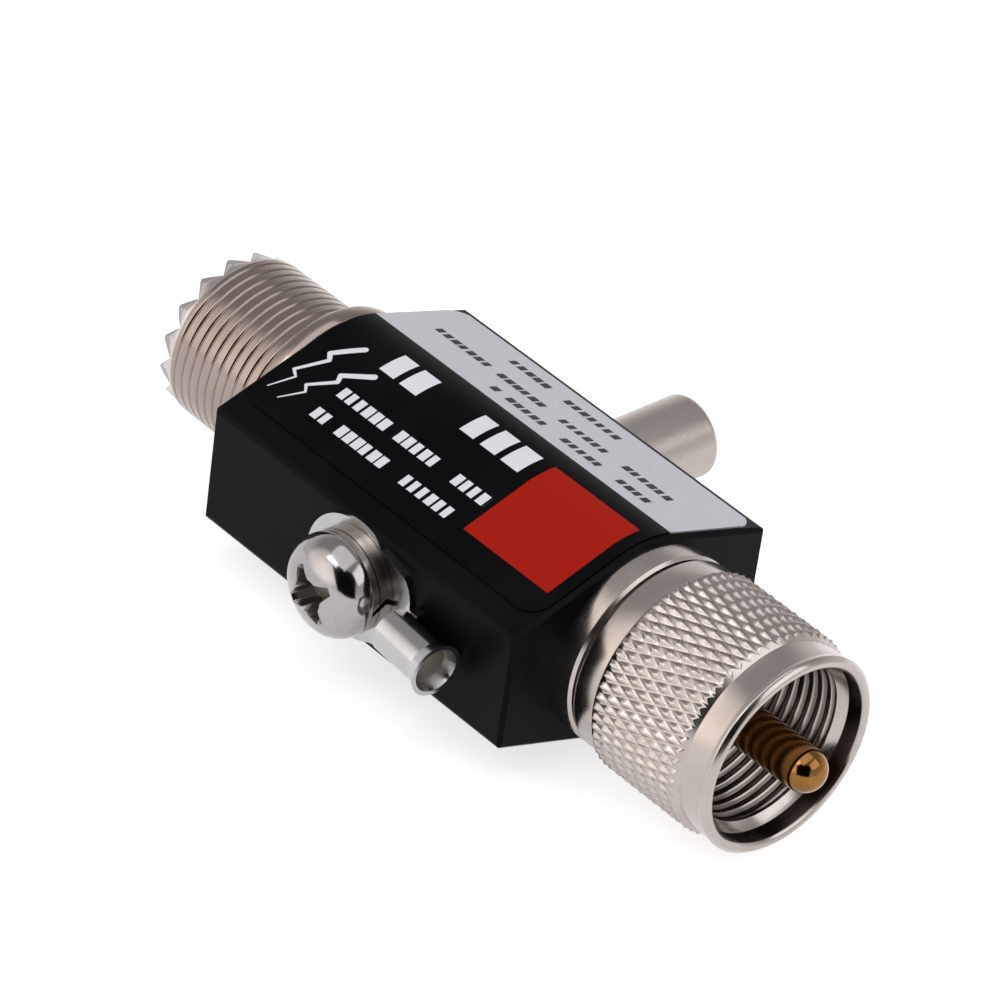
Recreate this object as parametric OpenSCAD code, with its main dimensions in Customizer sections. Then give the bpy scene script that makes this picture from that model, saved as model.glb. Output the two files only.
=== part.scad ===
// Inline coax lightning arrestor: threaded jack at one end, plug with a knurled coupling ring at the
// other, a gas tube under a screwed cap and a ground screw with a ring lug on the two sides.
// X runs along the coax line, out of the plug. The origin is on that line, at the plug's rim, where the
// mouth of a mating jack seats. Y points out of the cap, Z out of the labelled ridge. Millimetres.

/* [Body] */
// Length of the block along the coax line
body_l = 38.6; // [36:0.1:48]
// Width of the block from the screw face to the cap face
body_w = 28.4; // [27:0.1:34]
// Height of the flat screw face and cap face
side_h = 11.5; // [10:0.1:13]
// Radius of the two rounded ridges, from the coax line
ridge_r = 9.8; // [9.7:0.05:11]
// Radius of the long corners of the block
corner_r = 0.7; // [0.3:0.05:1.5]
// Bevel round both end faces
end_bevel = 0.35; // [0.1:0.05:0.6]
// Bore of the coax chamber through the block
chamber_d = 10; // [9:0.1:10.6]

/* [Label] */
// Thickness of the wrapped label
label_t = 0.15; // [0.1:0.01:0.25]
// Bare margin at the two ends of the block
label_end_margin = 0.5; // [0.4:0.1:2]
// Bare margin on the slope above the screw face
label_screw_margin = 2.4; // [1:0.1:4]
// Bare margin on the slope above the cap face
label_cap_margin = 0.9; // [0.8:0.1:3]
// Radius of the label's corners
label_corner_r = 2; // [0.5:0.1:3]

/* [Jack] */
// Outer diameter of the jack's thread
jack_thread_d = 15.88; // [15.4:0.02:16.2]
// Length of the jack's thread
jack_thread_l = 10.4; // [9:0.1:14]
// Width of the undercut between thread and flange
jack_relief_w = 0.7; // [0.4:0.1:1.2]
// Depth of that undercut
jack_relief_depth = 0.55; // [0.2:0.05:0.7]
// Length of the plain toothed rim ahead of the thread
jack_rim_l = 1.8; // [1.6:0.1:3]
// Outer diameter of the toothed rim
jack_rim_d = 15.5; // [15:0.05:15.8]
// Bore of the jack's mouth
jack_mouth_d = 12.5; // [12:0.1:13]
// Number of teeth round the mouth, an even count
tooth_n = 16; // [12:2:24]
// Turn of the teeth about the coax line
tooth_turn = 7.5; // [0:0.5:30]
// Depth of the notches between the teeth
tooth_depth = 1.35; // [0.6:0.05:1.5]
// Step from the ridge down to the jack's flange
jack_flange_inset = 0.3; // [0.1:0.05:1.3]
// Thickness of that flange
jack_flange_t = 1.8; // [1:0.1:3]
// Depth of the insulator's face below the tooth tips
jack_recess = 4.6; // [4.2:0.1:5]
// Length of the jack's insulator
jack_insulator_l = 6.4; // [5:0.1:7]

/* [Plug] */
// Distance from the block's end face to the plug's rim
plug_stand = 5; // [4.8:0.1:7]
// Step from the ridge down to the plug's fixed collar
plug_collar_inset = 0.6; // [0.1:0.05:1.3]
// Thickness of that collar
plug_collar_t = 2.3; // [1.5:0.1:2.4]
// Diameter of the neck that carries the coupling ring
neck_d = 14.8; // [14.2:0.1:15]
// Bore of the plug's shell round its insulator
plug_bore_d = 11.2; // [10.8:0.1:12]
// Number of locking teeth on the plug's rim
rim_tooth_n = 4; // [2:2:6]
// Height of the locking teeth
rim_tooth_h = 0.9; // [0.4:0.05:1.2]
// Depth of the plug insulator's face below the rim
plug_recess = 1.2; // [0.5:0.1:2]
// Length of the plug's insulator
plug_insulator_l = 7; // [6:0.1:8]
// Diameter of the centre pin
pin_d = 3.96; // [3.8:0.02:4.1]
// Reach of the pin ahead of the rim
pin_reach = 17.6; // [16:0.1:18.5]

/* [Coupling ring] */
// Diameter of the plain bands at both ends of the ring
ring_band_d = 18.45; // [18.2:0.05:18.7]
// Diameter over the knurl
knurl_d = 19.5; // [19.45:0.05:20.2]
// Depth of the knurl's grooves
knurl_depth = 0.3; // [0.15:0.05:0.32]
// Number of knurl diamonds round the ring
knurl_starts = 58; // [44:1:64]
// Number of half diamonds along the ring
knurl_rows = 7; // [5:1:9]
// Length of the knurled band
knurl_l = 9.6; // [8:0.1:12]
// Length of the plain band behind the knurl
ring_rear_l = 2.9; // [2:0.1:4]
// Length of the plain band ahead of the knurl
ring_front_l = 3.7; // [3.2:0.1:5]
// Rise of the small flare at the ring's rim
ring_flare = 0.06; // [0.02:0.02:0.2]
// Radius of the ring's rim
ring_rim_r = 0.35; // [0.1:0.05:0.5]
// Open gap between the fixed collar and the ring
ring_gap = 0.4; // [0.2:0.05:0.6]
// Thickness of the ring's inner lip, which turns on the neck
ring_lip_t = 1.2; // [0.8:0.05:1.3]
// Diameter of the plain mouth ahead of the ring's thread
ring_mouth_d = 16.6; // [16.4:0.1:17]
// Depth of that plain mouth
ring_mouth_l = 1.8; // [1:0.1:3]

/* [Gas tube and cap] */
// Diameter of the gas tube's end cups
tube_d = 5.5; // [4.8:0.1:6]
// Length of the gas tube
tube_l = 6; // [5:0.1:6.4]
// Thickness of each end cup
cup_t = 1; // [0.7:0.1:1.4]
// Diameter of the ceramic between the cups
ceramic_d = 5; // [4.4:0.1:5.3]
// Bore of the ceramic
ceramic_bore_d = 3.4; // [2.8:0.1:3.6]
// Spark gap between the two electrode stubs
spark_gap = 0.8; // [0.4:0.1:1.4]
// Diameter of the screwed cap
cap_d = 7.6; // [7.4:0.1:9]
// Length of the cap outside the block
cap_l = 10.2; // [8:0.1:14]
// Radius of the cap's outer edge
cap_edge_r = 0.6; // [0.2:0.05:1]
// Thread diameter of the cap
cap_thread_d = 7; // [6.8:0.1:7.2]
// Bore of the cap round the spring
cap_bore_d = 4.8; // [4.6:0.1:5.2]
// Depth of that bore past the block's face
cap_bore_over = 3.7; // [2:0.1:6]
// Wire diameter of the contact spring
wire_d = 0.6; // [0.4:0.05:0.7]
// Turns of the contact spring
spring_turns = 7; // [5:1:8]

/* [Ground screw] */
// Thread diameter of the screw
screw_d = 5; // [4:0.1:5.2]
// Length of the screw under its head
screw_l = 9; // [7:0.5:9.5]
// Diameter of the domed head
head_d = 9.3; // [8.4:0.1:9.6]
// Height of the head
head_h = 3.6; // [3:0.1:4]
// Height of the straight edge below the dome
head_edge_h = 1.6; // [0.6:0.1:1.9]
// Span of the cross recess
recess_span = 5.8; // [4.4:0.1:6.2]
// Width of the recess wings
recess_w = 1.2; // [0.8:0.1:1.5]
// Depth of the recess
recess_depth = 2.1; // [1.4:0.1:2.4]
// Diameter of the recess's conical centre
recess_centre_d = 3.4; // [2.4:0.1:4]
// Turn of the recess about the screw
recess_turn = 37; // [0:1:90]
// Outer diameter of the spring washer
washer_d = 9.2; // [8.6:0.1:10]
// Thickness of the spring washer
washer_t = 1.4; // [0.8:0.1:1.6]
// Width of the washer's split
washer_split = 0.5; // [0.3:0.1:1]

/* [Ground lug] */
// Diameter of the lug's ring tongue
lug_ring_d = 11.4; // [10.5:0.1:11.5]
// Thickness of the tongue
lug_t = 0.4; // [0.3:0.05:0.8]
// Outer diameter of the wire barrel
barrel_d = 4.1; // [3.4:0.1:5]
// Wall of the wire barrel
barrel_wall = 0.4; // [0.3:0.05:0.8]
// Length of the wire barrel
barrel_l = 6.1; // [5:0.1:9]
// Distance from the screw to the barrel's near end
barrel_start = 7.3; // [6.8:0.1:8.5]
// Length of the flared mouth of the barrel
bell_l = 1.1; // [0.6:0.1:1.6]
// Rise of that flare
bell_rise = 0.4; // [0.1:0.05:0.5]
// Half width of the tongue's shoulders beside the barrel
shoulder_w = 4.1; // [3:0.1:4.6]
// Swing of the lug below the coax line
lug_swing = 1; // [-90:1:90]

/* [Hidden] */
$fn = 96;

// Clearances and small edges
run_clear = 0.05;       // radial room of turning fits
thread_clear = 0.06;    // radial room round a thread
seat_clear = 0.1;       // axial room beside the retaining clip
tube_clear = 0.5;       // room between the gas tube and the end of the cap's thread
tip_clear = 0.5;        // room past the screw's tip
edge = 0.25;            // bevel on turned edges
blend = 0.02;           // small overlap or step-in that keeps a shared edge a clean crease
clip_room = 0.15;       // radial room outside the retaining clip
stack_room = 0.15;      // radial room of the lug and washer round the screw
spring_room = 0.2;      // radial room outside the contact spring
bell_room = 0.05;       // room between the barrel's flared mouth and the block
stop_rim = 0.8;         // rise of the stop collars on the two centre contacts
over = 1;               // overshoot of cuts past a face

// Block: side faces, distance and tilt of the slopes, their length and the centre of a corner's arc
face_y = body_w / 2;
slope_d = ridge_r - blend;
slope = asin(slope_d / norm([face_y, side_h / 2])) - atan2(side_h / 2, face_y);
slope_run = sqrt(face_y * face_y + side_h * side_h / 4 - slope_d * slope_d);
slope_foot = slope_d * [sin(slope), cos(slope)];
corner_steps = 5;
corner_at = [face_y - corner_r, side_h / 2 - corner_r * (1 - sin(slope)) / cos(slope)];
body_x1 = -plug_stand;
body_x0 = body_x1 - body_l;
cross_x = (body_x0 + body_x1) / 2;

// Shanks of the two connectors inside the block
shank_wall = 1.5;
shank_d = chamber_d + 2 * shank_wall;
shank_l = 7;

// Jack, from its flange to the tooth tips
jack_flange_d = 2 * (ridge_r - jack_flange_inset);
jack_flange_x = body_x0 - jack_flange_t;
jack_thread_x = jack_flange_x - jack_relief_w;
jack_rim_x = jack_thread_x - jack_thread_l;
jack_tip_x = jack_rim_x - jack_rim_l;
jack_face_x = jack_tip_x + jack_recess;
jack_shoulder_x = jack_face_x + jack_insulator_l;

// Jack contact: a slit socket for a pin of the plug's own size
socket_d = pin_d + 2 * run_clear;
socket_wall = 1;
socket_depth = 8;
socket_slit = 0.5;
stop_t = 0.8;
contact_tail = 3.4;
contact_x1 = jack_shoulder_x + contact_tail;

// Rod between the two centre contacts
rod_d = 3.2;
spigot_d = 2;
spigot_l = 1.4;
pad_d = 4.8;
pad_l = 6.4;
pad_y = 1.9;

// Plug, with a stepped root that holds the pin in its insulator
plug_collar_d = 2 * (ridge_r - plug_collar_inset);
collar_x = body_x1 + plug_collar_t;
plug_face_x = -plug_recess;
plug_shoulder_x = plug_face_x - plug_insulator_l;
pin_tail = 1.6;
pin_x0 = plug_shoulder_x - pin_tail;
pin_root_rise = 0.4;
pin_root_r = pin_d / 2 + pin_root_rise;
pin_tip_r = pin_d / 2;
rim_tooth_root = 0.2;
rim_tooth_inset = 0.1;

// Coupling ring and the clip that keeps it on the neck
ring_x0 = collar_x + ring_gap;
knurl_x0 = ring_x0 + ring_rear_l;
knurl_x1 = knurl_x0 + knurl_l;
ring_x1 = knurl_x1 + ring_front_l;
ring_bore_d = jack_thread_d + 2 * thread_clear;
lip_x1 = ring_x0 + ring_lip_t;
clip_t = 0.5;
clip_depth = 0.5;
clip_x0 = lip_x1 + seat_clear;
clip_gap = 3;
run_out = 0.5;
run_out_rise = 0.12;
knurl_root = 0.4;
rim_steps = 4;

// Gas tube and cap, measured outwards from the coax line
tube_y0 = pad_y;
tube_y1 = tube_y0 + tube_l;
stub_d = 1.8;
cap_thread_y = tube_y1 + tube_clear;
cap_bore_y = face_y + cap_bore_over;
spring_r = (cap_bore_d - wire_d) / 2 - spring_room;

// Ground stack, measured outwards from the coax line
washer_y = face_y + lug_t;
head_y = washer_y + washer_t;
screw_tip_y = head_y - screw_l;
dome_r = (pow(head_d / 2, 2) + pow(head_h - head_edge_h, 2)) / (2 * (head_h - head_edge_h));
screw_hole_d = screw_d + 2 * thread_clear;
stack_hole_d = screw_d + 2 * stack_room;
recess_edge = 0.4;
recess_foot = recess_span / 5;
recess_taper = 0.4;
split_tilt = 30;

// Lug: half width of the tongue at the barrel, and the barrel's lift that frees its flared mouth
lug_neck_w = barrel_d / 3;
neck_pull = 0.99;
neck_steps = 6;
barrel_tilt = asin((bell_rise + bell_room) / barrel_l);

// Finishes
black_paint = [0.06, 0.06, 0.07];
label_black = [0.09, 0.09, 0.1];
nickel = [0.72, 0.69, 0.66];
bright_tin = [0.83, 0.83, 0.84];
chrome = [0.86, 0.86, 0.87];
brass = [0.72, 0.5, 0.22];
white_insulator = [0.93, 0.92, 0.88];
spring_steel = [0.6, 0.6, 0.6];

// Solid of revolution about the coax line, from [radius, x] points
module turned(points) {
    rotate([0, 90, 0])
        rotate_extrude()
            polygon(points);
}

// Frame of the cap: local z points out of the cap face
module cap_frame() {
    translate([cross_x, 0, 0])
        rotate([-90, 0, 0])
            children();
}

// Frame of the ground screw: local z points out of the screw face, local y up
module screw_frame() {
    translate([cross_x, 0, 0])
        rotate([90, 0, 0])
            children();
}

// Half of the block's section on the +Y side: a wedge from the coax line to the rounded corners
module side_section() {
    top = [for (i = [0 : corner_steps])
        let (turn = (90 - slope) * (1 - i / corner_steps))
        corner_at + corner_r * [cos(turn), sin(turn)]];
    bottom = [for (i = [corner_steps : -1 : 0]) [top[i].x, -top[i].y]];
    polygon(concat([[0, 0], slope_foot], top, bottom, [[slope_foot.x, -slope_foot.y]]));
}

// Cutter for the end bevel of one flat, whose outward normal is local y, at the end x = 0
module flat_bevel(distance) {
    translate([0, distance, 0])
        linear_extrude(2 * body_w, center = true)
            polygon([[-end_bevel - over, over], [over, over], [over, -end_bevel - over]]);
}

// End bevels of the side face and of both slopes of the +Y half, at x = 0 facing +X
module side_bevels() {
    flat_bevel(face_y);
    for (tilt = [90 - slope, slope - 90])
        rotate([tilt, 0, 0])
            flat_bevel(slope_d);
}

// The +Y half of the block with its end bevels
module side_block() {
    difference() {
        translate([body_x0, 0, 0])
            rotate([90, 0, 90])
                linear_extrude(body_l)
                    side_section();
        translate([body_x1, 0, 0])
            side_bevels();
        translate([body_x0, 0, 0])
            mirror([1, 0, 0])
                side_bevels();
    }
}

module body() {
    color(black_paint)
        difference() {
            union() {
                turned([
                    [0, body_x0], [ridge_r - end_bevel, body_x0], [ridge_r, body_x0 + end_bevel],
                    [ridge_r, body_x1 - end_bevel], [ridge_r - end_bevel, body_x1], [0, body_x1]]);
                for (turn = [0, 180])
                    rotate([turn, 0, 0])
                        side_block();
            }
            turned([[0, body_x0 - over], [chamber_d / 2, body_x0 - over],
                [chamber_d / 2, body_x1 + over], [0, body_x1 + over]]);
            for (x = [body_x0 - over, body_x1 - shank_l])
                translate([x, 0, 0])
                    rotate([0, 90, 0])
                        cylinder(d = shank_d, h = shank_l + over);
            cap_frame()
                cylinder(d = cap_thread_d + 2 * thread_clear, h = face_y + over);
            screw_frame()
                translate([0, 0, screw_tip_y - tip_clear])
                    cylinder(d = screw_hole_d, h = face_y + over);
        }
}

// Section of the label: a strip on each slope and the arc over the ridge, less the block under them
module label_section() {
    lap = slope + 6;
    reach = 2 * ridge_r;
    difference() {
        union() {
            rotate(slope)
                translate([-(slope_run - label_screw_margin), slope_d - over])
                    square([slope_run - label_screw_margin, label_t + over]);
            rotate(-slope)
                translate([0, slope_d - over])
                    square([slope_run - label_cap_margin, label_t + over]);
            intersection() {
                circle(r = ridge_r + label_t);
                polygon([[0, 0], reach * [sin(lap), cos(lap)], reach * [-sin(lap), cos(lap)]]);
            }
        }
        circle(r = ridge_r);
        side_section();
        mirror([1, 0])
            side_section();
    }
}

// What is trimmed off one corner of the label, whose sharp tip is at the origin
module corner_trim() {
    linear_extrude(2 * ridge_r)
        difference() {
            translate([-over, -over])
                square(label_corner_r + over);
            translate([label_corner_r, label_corner_r])
                circle(r = label_corner_r);
            translate([label_corner_r, -2 * over])
                square(label_corner_r + 4 * over);
            translate([-2 * over, label_corner_r])
                square(label_corner_r + 4 * over);
        }
}

module label() {
    x0 = body_x0 + label_end_margin;
    x1 = body_x1 - label_end_margin;
    screw_side = slope_foot.x + (slope_run - label_screw_margin) * cos(slope) + label_t * sin(slope);
    cap_side = slope_foot.x + (slope_run - label_cap_margin) * cos(slope) + label_t * sin(slope);
    color(label_black)
        difference() {
            translate([x0, 0, 0])
                rotate([90, 0, 90])
                    linear_extrude(x1 - x0)
                        label_section();
            translate([x0, -screw_side, 0])
                corner_trim();
            translate([x1, -screw_side, 0])
                mirror([1, 0, 0])
                    corner_trim();
            translate([x0, cap_side, 0])
                mirror([0, 1, 0])
                    corner_trim();
            translate([x1, cap_side, 0])
                mirror([1, 0, 0])
                    mirror([0, 1, 0])
                        corner_trim();
        }
}

// Notches across the jack's mouth: each wedge cuts two that face each other
module mouth_notches() {
    half_w = jack_rim_d / 2 * sin(180 / tooth_n);
    for (i = [0 : tooth_n / 2 - 1])
        rotate([tooth_turn + (i + 0.5) * 360 / tooth_n, 0, 0])
            rotate([90, 0, 0])
                linear_extrude(2 * jack_rim_d, center = true)
                    polygon([[jack_tip_x + tooth_depth, 0], [jack_tip_x - blend, half_w],
                        [jack_tip_x - blend, -half_w]]);
}

module jack_shell() {
    rim_r = jack_rim_d / 2;
    thread_r = jack_thread_d / 2;
    flange_r = jack_flange_d / 2;
    color(nickel)
        difference() {
            turned([
                [chamber_d / 2, body_x0 + shank_l], [shank_d / 2, body_x0 + shank_l],
                [shank_d / 2, body_x0], [flange_r, body_x0], [flange_r, jack_flange_x + edge],
                [flange_r - edge, jack_flange_x], [thread_r - jack_relief_depth, jack_flange_x],
                [thread_r - jack_relief_depth, jack_thread_x], [thread_r, jack_thread_x],
                [thread_r, jack_rim_x], [rim_r, jack_rim_x], [rim_r, jack_tip_x],
                [jack_mouth_d / 2, jack_tip_x], [jack_mouth_d / 2, jack_shoulder_x],
                [chamber_d / 2, jack_shoulder_x]]);
            mouth_notches();
        }
}

module jack_insulator() {
    hole_r = socket_d / 2 + socket_wall;
    color(white_insulator)
        turned([
            [hole_r, jack_face_x], [jack_mouth_d / 2, jack_face_x],
            [jack_mouth_d / 2, jack_shoulder_x], [hole_r, jack_shoulder_x]]);
}

module jack_contact() {
    outer_r = socket_d / 2 + socket_wall;
    stop_r = outer_r + stop_rim;
    color(brass)
        difference() {
            turned([
                [0, contact_x1 - spigot_l], [spigot_d / 2, contact_x1 - spigot_l],
                [spigot_d / 2, contact_x1], [outer_r, contact_x1],
                [outer_r, jack_shoulder_x + stop_t], [stop_r, jack_shoulder_x + stop_t],
                [stop_r, jack_shoulder_x], [outer_r, jack_shoulder_x], [outer_r, jack_face_x],
                [socket_d / 2, jack_face_x], [socket_d / 2, jack_face_x + socket_depth],
                [0, jack_face_x + socket_depth]]);
            for (turn = [45, 135])
                rotate([turn, 0, 0])
                    translate([jack_face_x - over, -socket_slit / 2, -stop_r])
                        cube([jack_insulator_l - stop_t + over, socket_slit, 2 * stop_r]);
        }
}

module line_rod() {
    color(brass)
        difference() {
            union() {
                turned([
                    [0, contact_x1 - spigot_l], [spigot_d / 2, contact_x1 - spigot_l],
                    [spigot_d / 2, contact_x1], [rod_d / 2, contact_x1],
                    [rod_d / 2, cross_x - pad_l / 2], [pad_d / 2, cross_x - pad_l / 2],
                    [pad_d / 2, cross_x + pad_l / 2], [rod_d / 2, cross_x + pad_l / 2],
                    [rod_d / 2, pin_x0], [spigot_d / 2, pin_x0],
                    [spigot_d / 2, pin_x0 + spigot_l], [0, pin_x0 + spigot_l]]);
            }
            translate([cross_x - pad_l / 2 - over, pad_y, -pad_d])
                cube([pad_l + 2 * over, pad_d, 2 * pad_d]);
        }
}

// Locking teeth of the plug's rim, pointing forward between the teeth of a mating jack
module rim_teeth() {
    inner_r = jack_mouth_d / 2 + rim_tooth_inset;
    intersection() {
        turned([[inner_r, -rim_tooth_root], [neck_d / 2, -rim_tooth_root], [neck_d / 2, rim_tooth_h],
            [inner_r, rim_tooth_h]]);
        for (i = [0 : rim_tooth_n / 2 - 1])
            rotate([i * 360 / rim_tooth_n, 0, 0])
                rotate([90, 0, 0])
                    linear_extrude(2 * neck_d, center = true)
                        polygon([[rim_tooth_h, 0], [-over, rim_tooth_h + over],
                            [-over, -rim_tooth_h - over]]);
    }
}

module plug_shell() {
    neck_r = neck_d / 2;
    collar_r = plug_collar_d / 2;
    groove_r = neck_r - clip_depth;
    groove_x1 = clip_x0 + clip_t;
    color(nickel) {
        turned([
            [chamber_d / 2, body_x1 - shank_l], [shank_d / 2, body_x1 - shank_l],
            [shank_d / 2, body_x1], [collar_r, body_x1], [collar_r, collar_x - edge],
            [collar_r - edge, collar_x], [neck_r, collar_x], [neck_r, clip_x0], [groove_r, clip_x0],
            [groove_r, groove_x1], [neck_r, groove_x1], [neck_r, 0], [plug_bore_d / 2, 0],
            [plug_bore_d / 2, plug_shoulder_x], [chamber_d / 2, plug_shoulder_x]]);
        rim_teeth();
    }
}

module plug_insulator() {
    color(white_insulator)
        turned([
            [pin_root_r, plug_shoulder_x], [plug_bore_d / 2, plug_shoulder_x],
            [plug_bore_d / 2, plug_face_x], [pin_root_r, plug_face_x]]);
}

module plug_pin() {
    stop_r = pin_root_r + stop_rim;
    color(brass)
        difference() {
            union() {
                turned([
                    [0, pin_x0], [pin_root_r, pin_x0], [pin_root_r, plug_shoulder_x - stop_t],
                    [stop_r, plug_shoulder_x - stop_t], [stop_r, plug_shoulder_x],
                    [pin_root_r, plug_shoulder_x], [pin_root_r, plug_face_x], [pin_d / 2, plug_face_x],
                    [pin_d / 2, pin_reach - pin_tip_r], [0, pin_reach - pin_tip_r]]);
                translate([pin_reach - pin_tip_r, 0, 0])
                    sphere(r = pin_tip_r);
            }
            translate([pin_x0 - over, 0, 0])
                rotate([0, 90, 0])
                    cylinder(d = spigot_d, h = spigot_l + over);
        }
}

// Diamond knurl: two crossing sets of helical grooves leave pyramids. Points lie on a grid of half
// diamonds, high and low by turns, and each cell is split along the groove that crosses it.
module knurl_sleeve() {
    columns = 2 * knurl_starts;
    row_l = knurl_l / knurl_rows;
    inner_r = ring_band_d / 2 - knurl_root;
    function at(r, i, x) = [x, r * cos(360 * i / columns), r * sin(360 * i / columns)];
    function height(i, j) = knurl_d / 2 - ((i + j) % 2 == 0 ? knurl_depth : 0);
    function out(i, j) = j * columns + i % columns;
    function inn(i, end) = (knurl_rows + 1 + end) * columns + i % columns;
    points = concat(
        [for (j = [0 : knurl_rows], i = [0 : columns - 1]) at(height(i, j), i, knurl_x0 + j * row_l)],
        [for (x = [knurl_x0, knurl_x1], i = [0 : columns - 1]) at(inner_r, i, x)]);
    pyramids = [for (j = [0 : knurl_rows - 1], i = [0 : columns - 1], half = [0, 1])
        (i + j) % 2 == 0
            ? (half == 0 ? [out(i, j), out(i, j + 1), out(i + 1, j + 1)]
                : [out(i, j), out(i + 1, j + 1), out(i + 1, j)])
            : (half == 0 ? [out(i, j), out(i, j + 1), out(i + 1, j)]
                : [out(i, j + 1), out(i + 1, j + 1), out(i + 1, j)])];
    rear = [for (i = [0 : columns - 1]) [out(i, 0), out(i + 1, 0), inn(i + 1, 0), inn(i, 0)]];
    front = [for (i = [0 : columns - 1])
        [out(i + 1, knurl_rows), out(i, knurl_rows), inn(i, 1), inn(i + 1, 1)]];
    inside = [for (i = [0 : columns - 1]) [inn(i, 0), inn(i + 1, 0), inn(i + 1, 1), inn(i, 1)]];
    polyhedron(points, concat(pyramids, rear, front, inside), convexity = 6);
}

module coupling_ring() {
    band_r = ring_band_d / 2;
    flare_r = band_r + ring_flare;
    run_r = band_r + run_out_rise;
    bore_r = ring_bore_d / 2;
    mouth_r = ring_mouth_d / 2;
    lip_r = neck_d / 2 + run_clear;
    rim = [for (i = [0 : rim_steps])
        let (turn = 90 * i / rim_steps)
        [flare_r - ring_rim_r * (1 - cos(turn)), ring_x1 - ring_rim_r * (1 - sin(turn))]];
    color(nickel) {
        turned(concat(
            [[lip_r, ring_x0], [band_r - edge, ring_x0], [band_r, ring_x0 + edge],
                [band_r, knurl_x1 - 2 * run_out], [run_r, knurl_x1 - run_out], [run_r, knurl_x1 + blend],
                [band_r, knurl_x1 + run_out], [band_r, ring_x1 - 3 * ring_rim_r],
                [flare_r, ring_x1 - 2 * ring_rim_r]],
            rim,
            [[mouth_r + edge, ring_x1], [mouth_r, ring_x1 - edge], [mouth_r, ring_x1 - ring_mouth_l],
                [bore_r, ring_x1 - ring_mouth_l - (mouth_r - bore_r)], [bore_r, lip_x1], [lip_r, lip_x1]]));
        knurl_sleeve();
    }
}

module ring_clip() {
    inner_r = neck_d / 2 - clip_depth;
    outer_r = ring_bore_d / 2 - clip_room;
    color(spring_steel)
        difference() {
            turned([
                [inner_r, clip_x0], [outer_r, clip_x0], [outer_r, clip_x0 + clip_t],
                [inner_r, clip_x0 + clip_t]]);
            translate([clip_x0 - over, -clip_gap / 2, -ring_bore_d])
                cube([clip_t + 2 * over, clip_gap, ring_bore_d]);
        }
}

// End cup of the gas tube: a disc with an electrode stub that reaches into the ceramic
module end_cup() {
    stub_l = (tube_l - spark_gap) / 2 - cup_t;
    rotate_extrude()
        polygon([
            [0, 0], [tube_d / 2 - edge, 0], [tube_d / 2, edge], [tube_d / 2, cup_t], [stub_d / 2, cup_t],
            [stub_d / 2, cup_t + stub_l], [0, cup_t + stub_l]]);
}

module tube_line_cup() {
    color(bright_tin)
        cap_frame()
            translate([0, 0, tube_y0])
                end_cup();
}

module tube_earth_cup() {
    color(bright_tin)
        cap_frame()
            translate([0, 0, tube_y1])
                mirror([0, 0, 1])
                    end_cup();
}

module tube_ceramic() {
    color(white_insulator)
        cap_frame()
            translate([0, 0, tube_y0 + cup_t])
                difference() {
                    cylinder(d = ceramic_d, h = tube_l - 2 * cup_t);
                    translate([0, 0, -over])
                        cylinder(d = ceramic_bore_d, h = tube_l + 2 * over);
                }
}

// Round wire swept along a helix, as rings of points joined by quads and closed at both ends
module wire_helix(radius, height, turns, wire_r) {
    sides = 8;
    steps = 14 * turns;
    function ring_point(i, k) =
        let (turn = 360 * turns * i / steps, around = 360 * k / sides, r = radius + wire_r * cos(around))
        [r * cos(turn), r * sin(turn), height * i / steps + wire_r * sin(around)];
    points = [for (i = [0 : steps], k = [0 : sides - 1]) ring_point(i, k)];
    walls = [for (i = [0 : steps - 1], k = [0 : sides - 1])
        [i * sides + k, (i + 1) * sides + k, (i + 1) * sides + (k + 1) % sides,
            i * sides + (k + 1) % sides]];
    polyhedron(points, concat([[for (k = [0 : sides - 1]) k]], walls,
        [[for (k = [sides - 1 : -1 : 0]) steps * sides + k]]), convexity = 10);
}

module cap_spring() {
    color(spring_steel)
        cap_frame()
            translate([0, 0, tube_y1 + wire_d / 2])
                wire_helix(spring_r, cap_bore_y - tube_y1 - wire_d, spring_turns, wire_d / 2);
}

module tube_cap() {
    color(nickel)
        cap_frame()
            difference() {
                union() {
                    translate([0, 0, cap_thread_y])
                        cylinder(d = cap_thread_d, h = face_y - cap_thread_y);
                    rotate_extrude()
                        difference() {
                            translate([0, face_y])
                                square([cap_d / 2, cap_l]);
                            translate([cap_d / 2 - cap_edge_r, face_y + cap_l - cap_edge_r])
                                difference() {
                                    square(cap_edge_r + over);
                                    circle(r = cap_edge_r);
                                }
                        }
                }
                cylinder(d = cap_bore_d, h = cap_bore_y);
            }
}

// One pair of recess wings: a tapered slot across the head
module recess_wing() {
    top_z = head_y + head_h;
    rotate([90, 0, 0])
        linear_extrude(recess_w, center = true)
            polygon([
                [-recess_span / 2, top_z + over], [recess_span / 2, top_z + over],
                [recess_span / 2, top_z - recess_edge], [recess_foot, top_z - recess_depth],
                [-recess_foot, top_z - recess_depth], [-recess_span / 2, top_z - recess_edge]]);
}

module ground_screw() {
    color(chrome)
        screw_frame()
            difference() {
                union() {
                    rotate_extrude()
                        polygon([
                            [0, screw_tip_y], [screw_d / 2 - 2 * edge, screw_tip_y],
                            [screw_d / 2, screw_tip_y + 2 * edge], [screw_d / 2, head_y], [0, head_y]]);
                    rotate_extrude()
                        intersection() {
                            translate([0, head_y])
                                square([head_d / 2, head_h]);
                            translate([0, head_y + head_h - dome_r])
                                circle(r = dome_r);
                        }
                }
                for (turn = [0, 90])
                    rotate([0, 0, recess_turn + turn])
                        recess_wing();
                translate([0, 0, head_y + head_h - recess_depth])
                    cylinder(d1 = recess_taper * recess_centre_d, d2 = recess_centre_d, h = recess_depth);
            }
}

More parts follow.
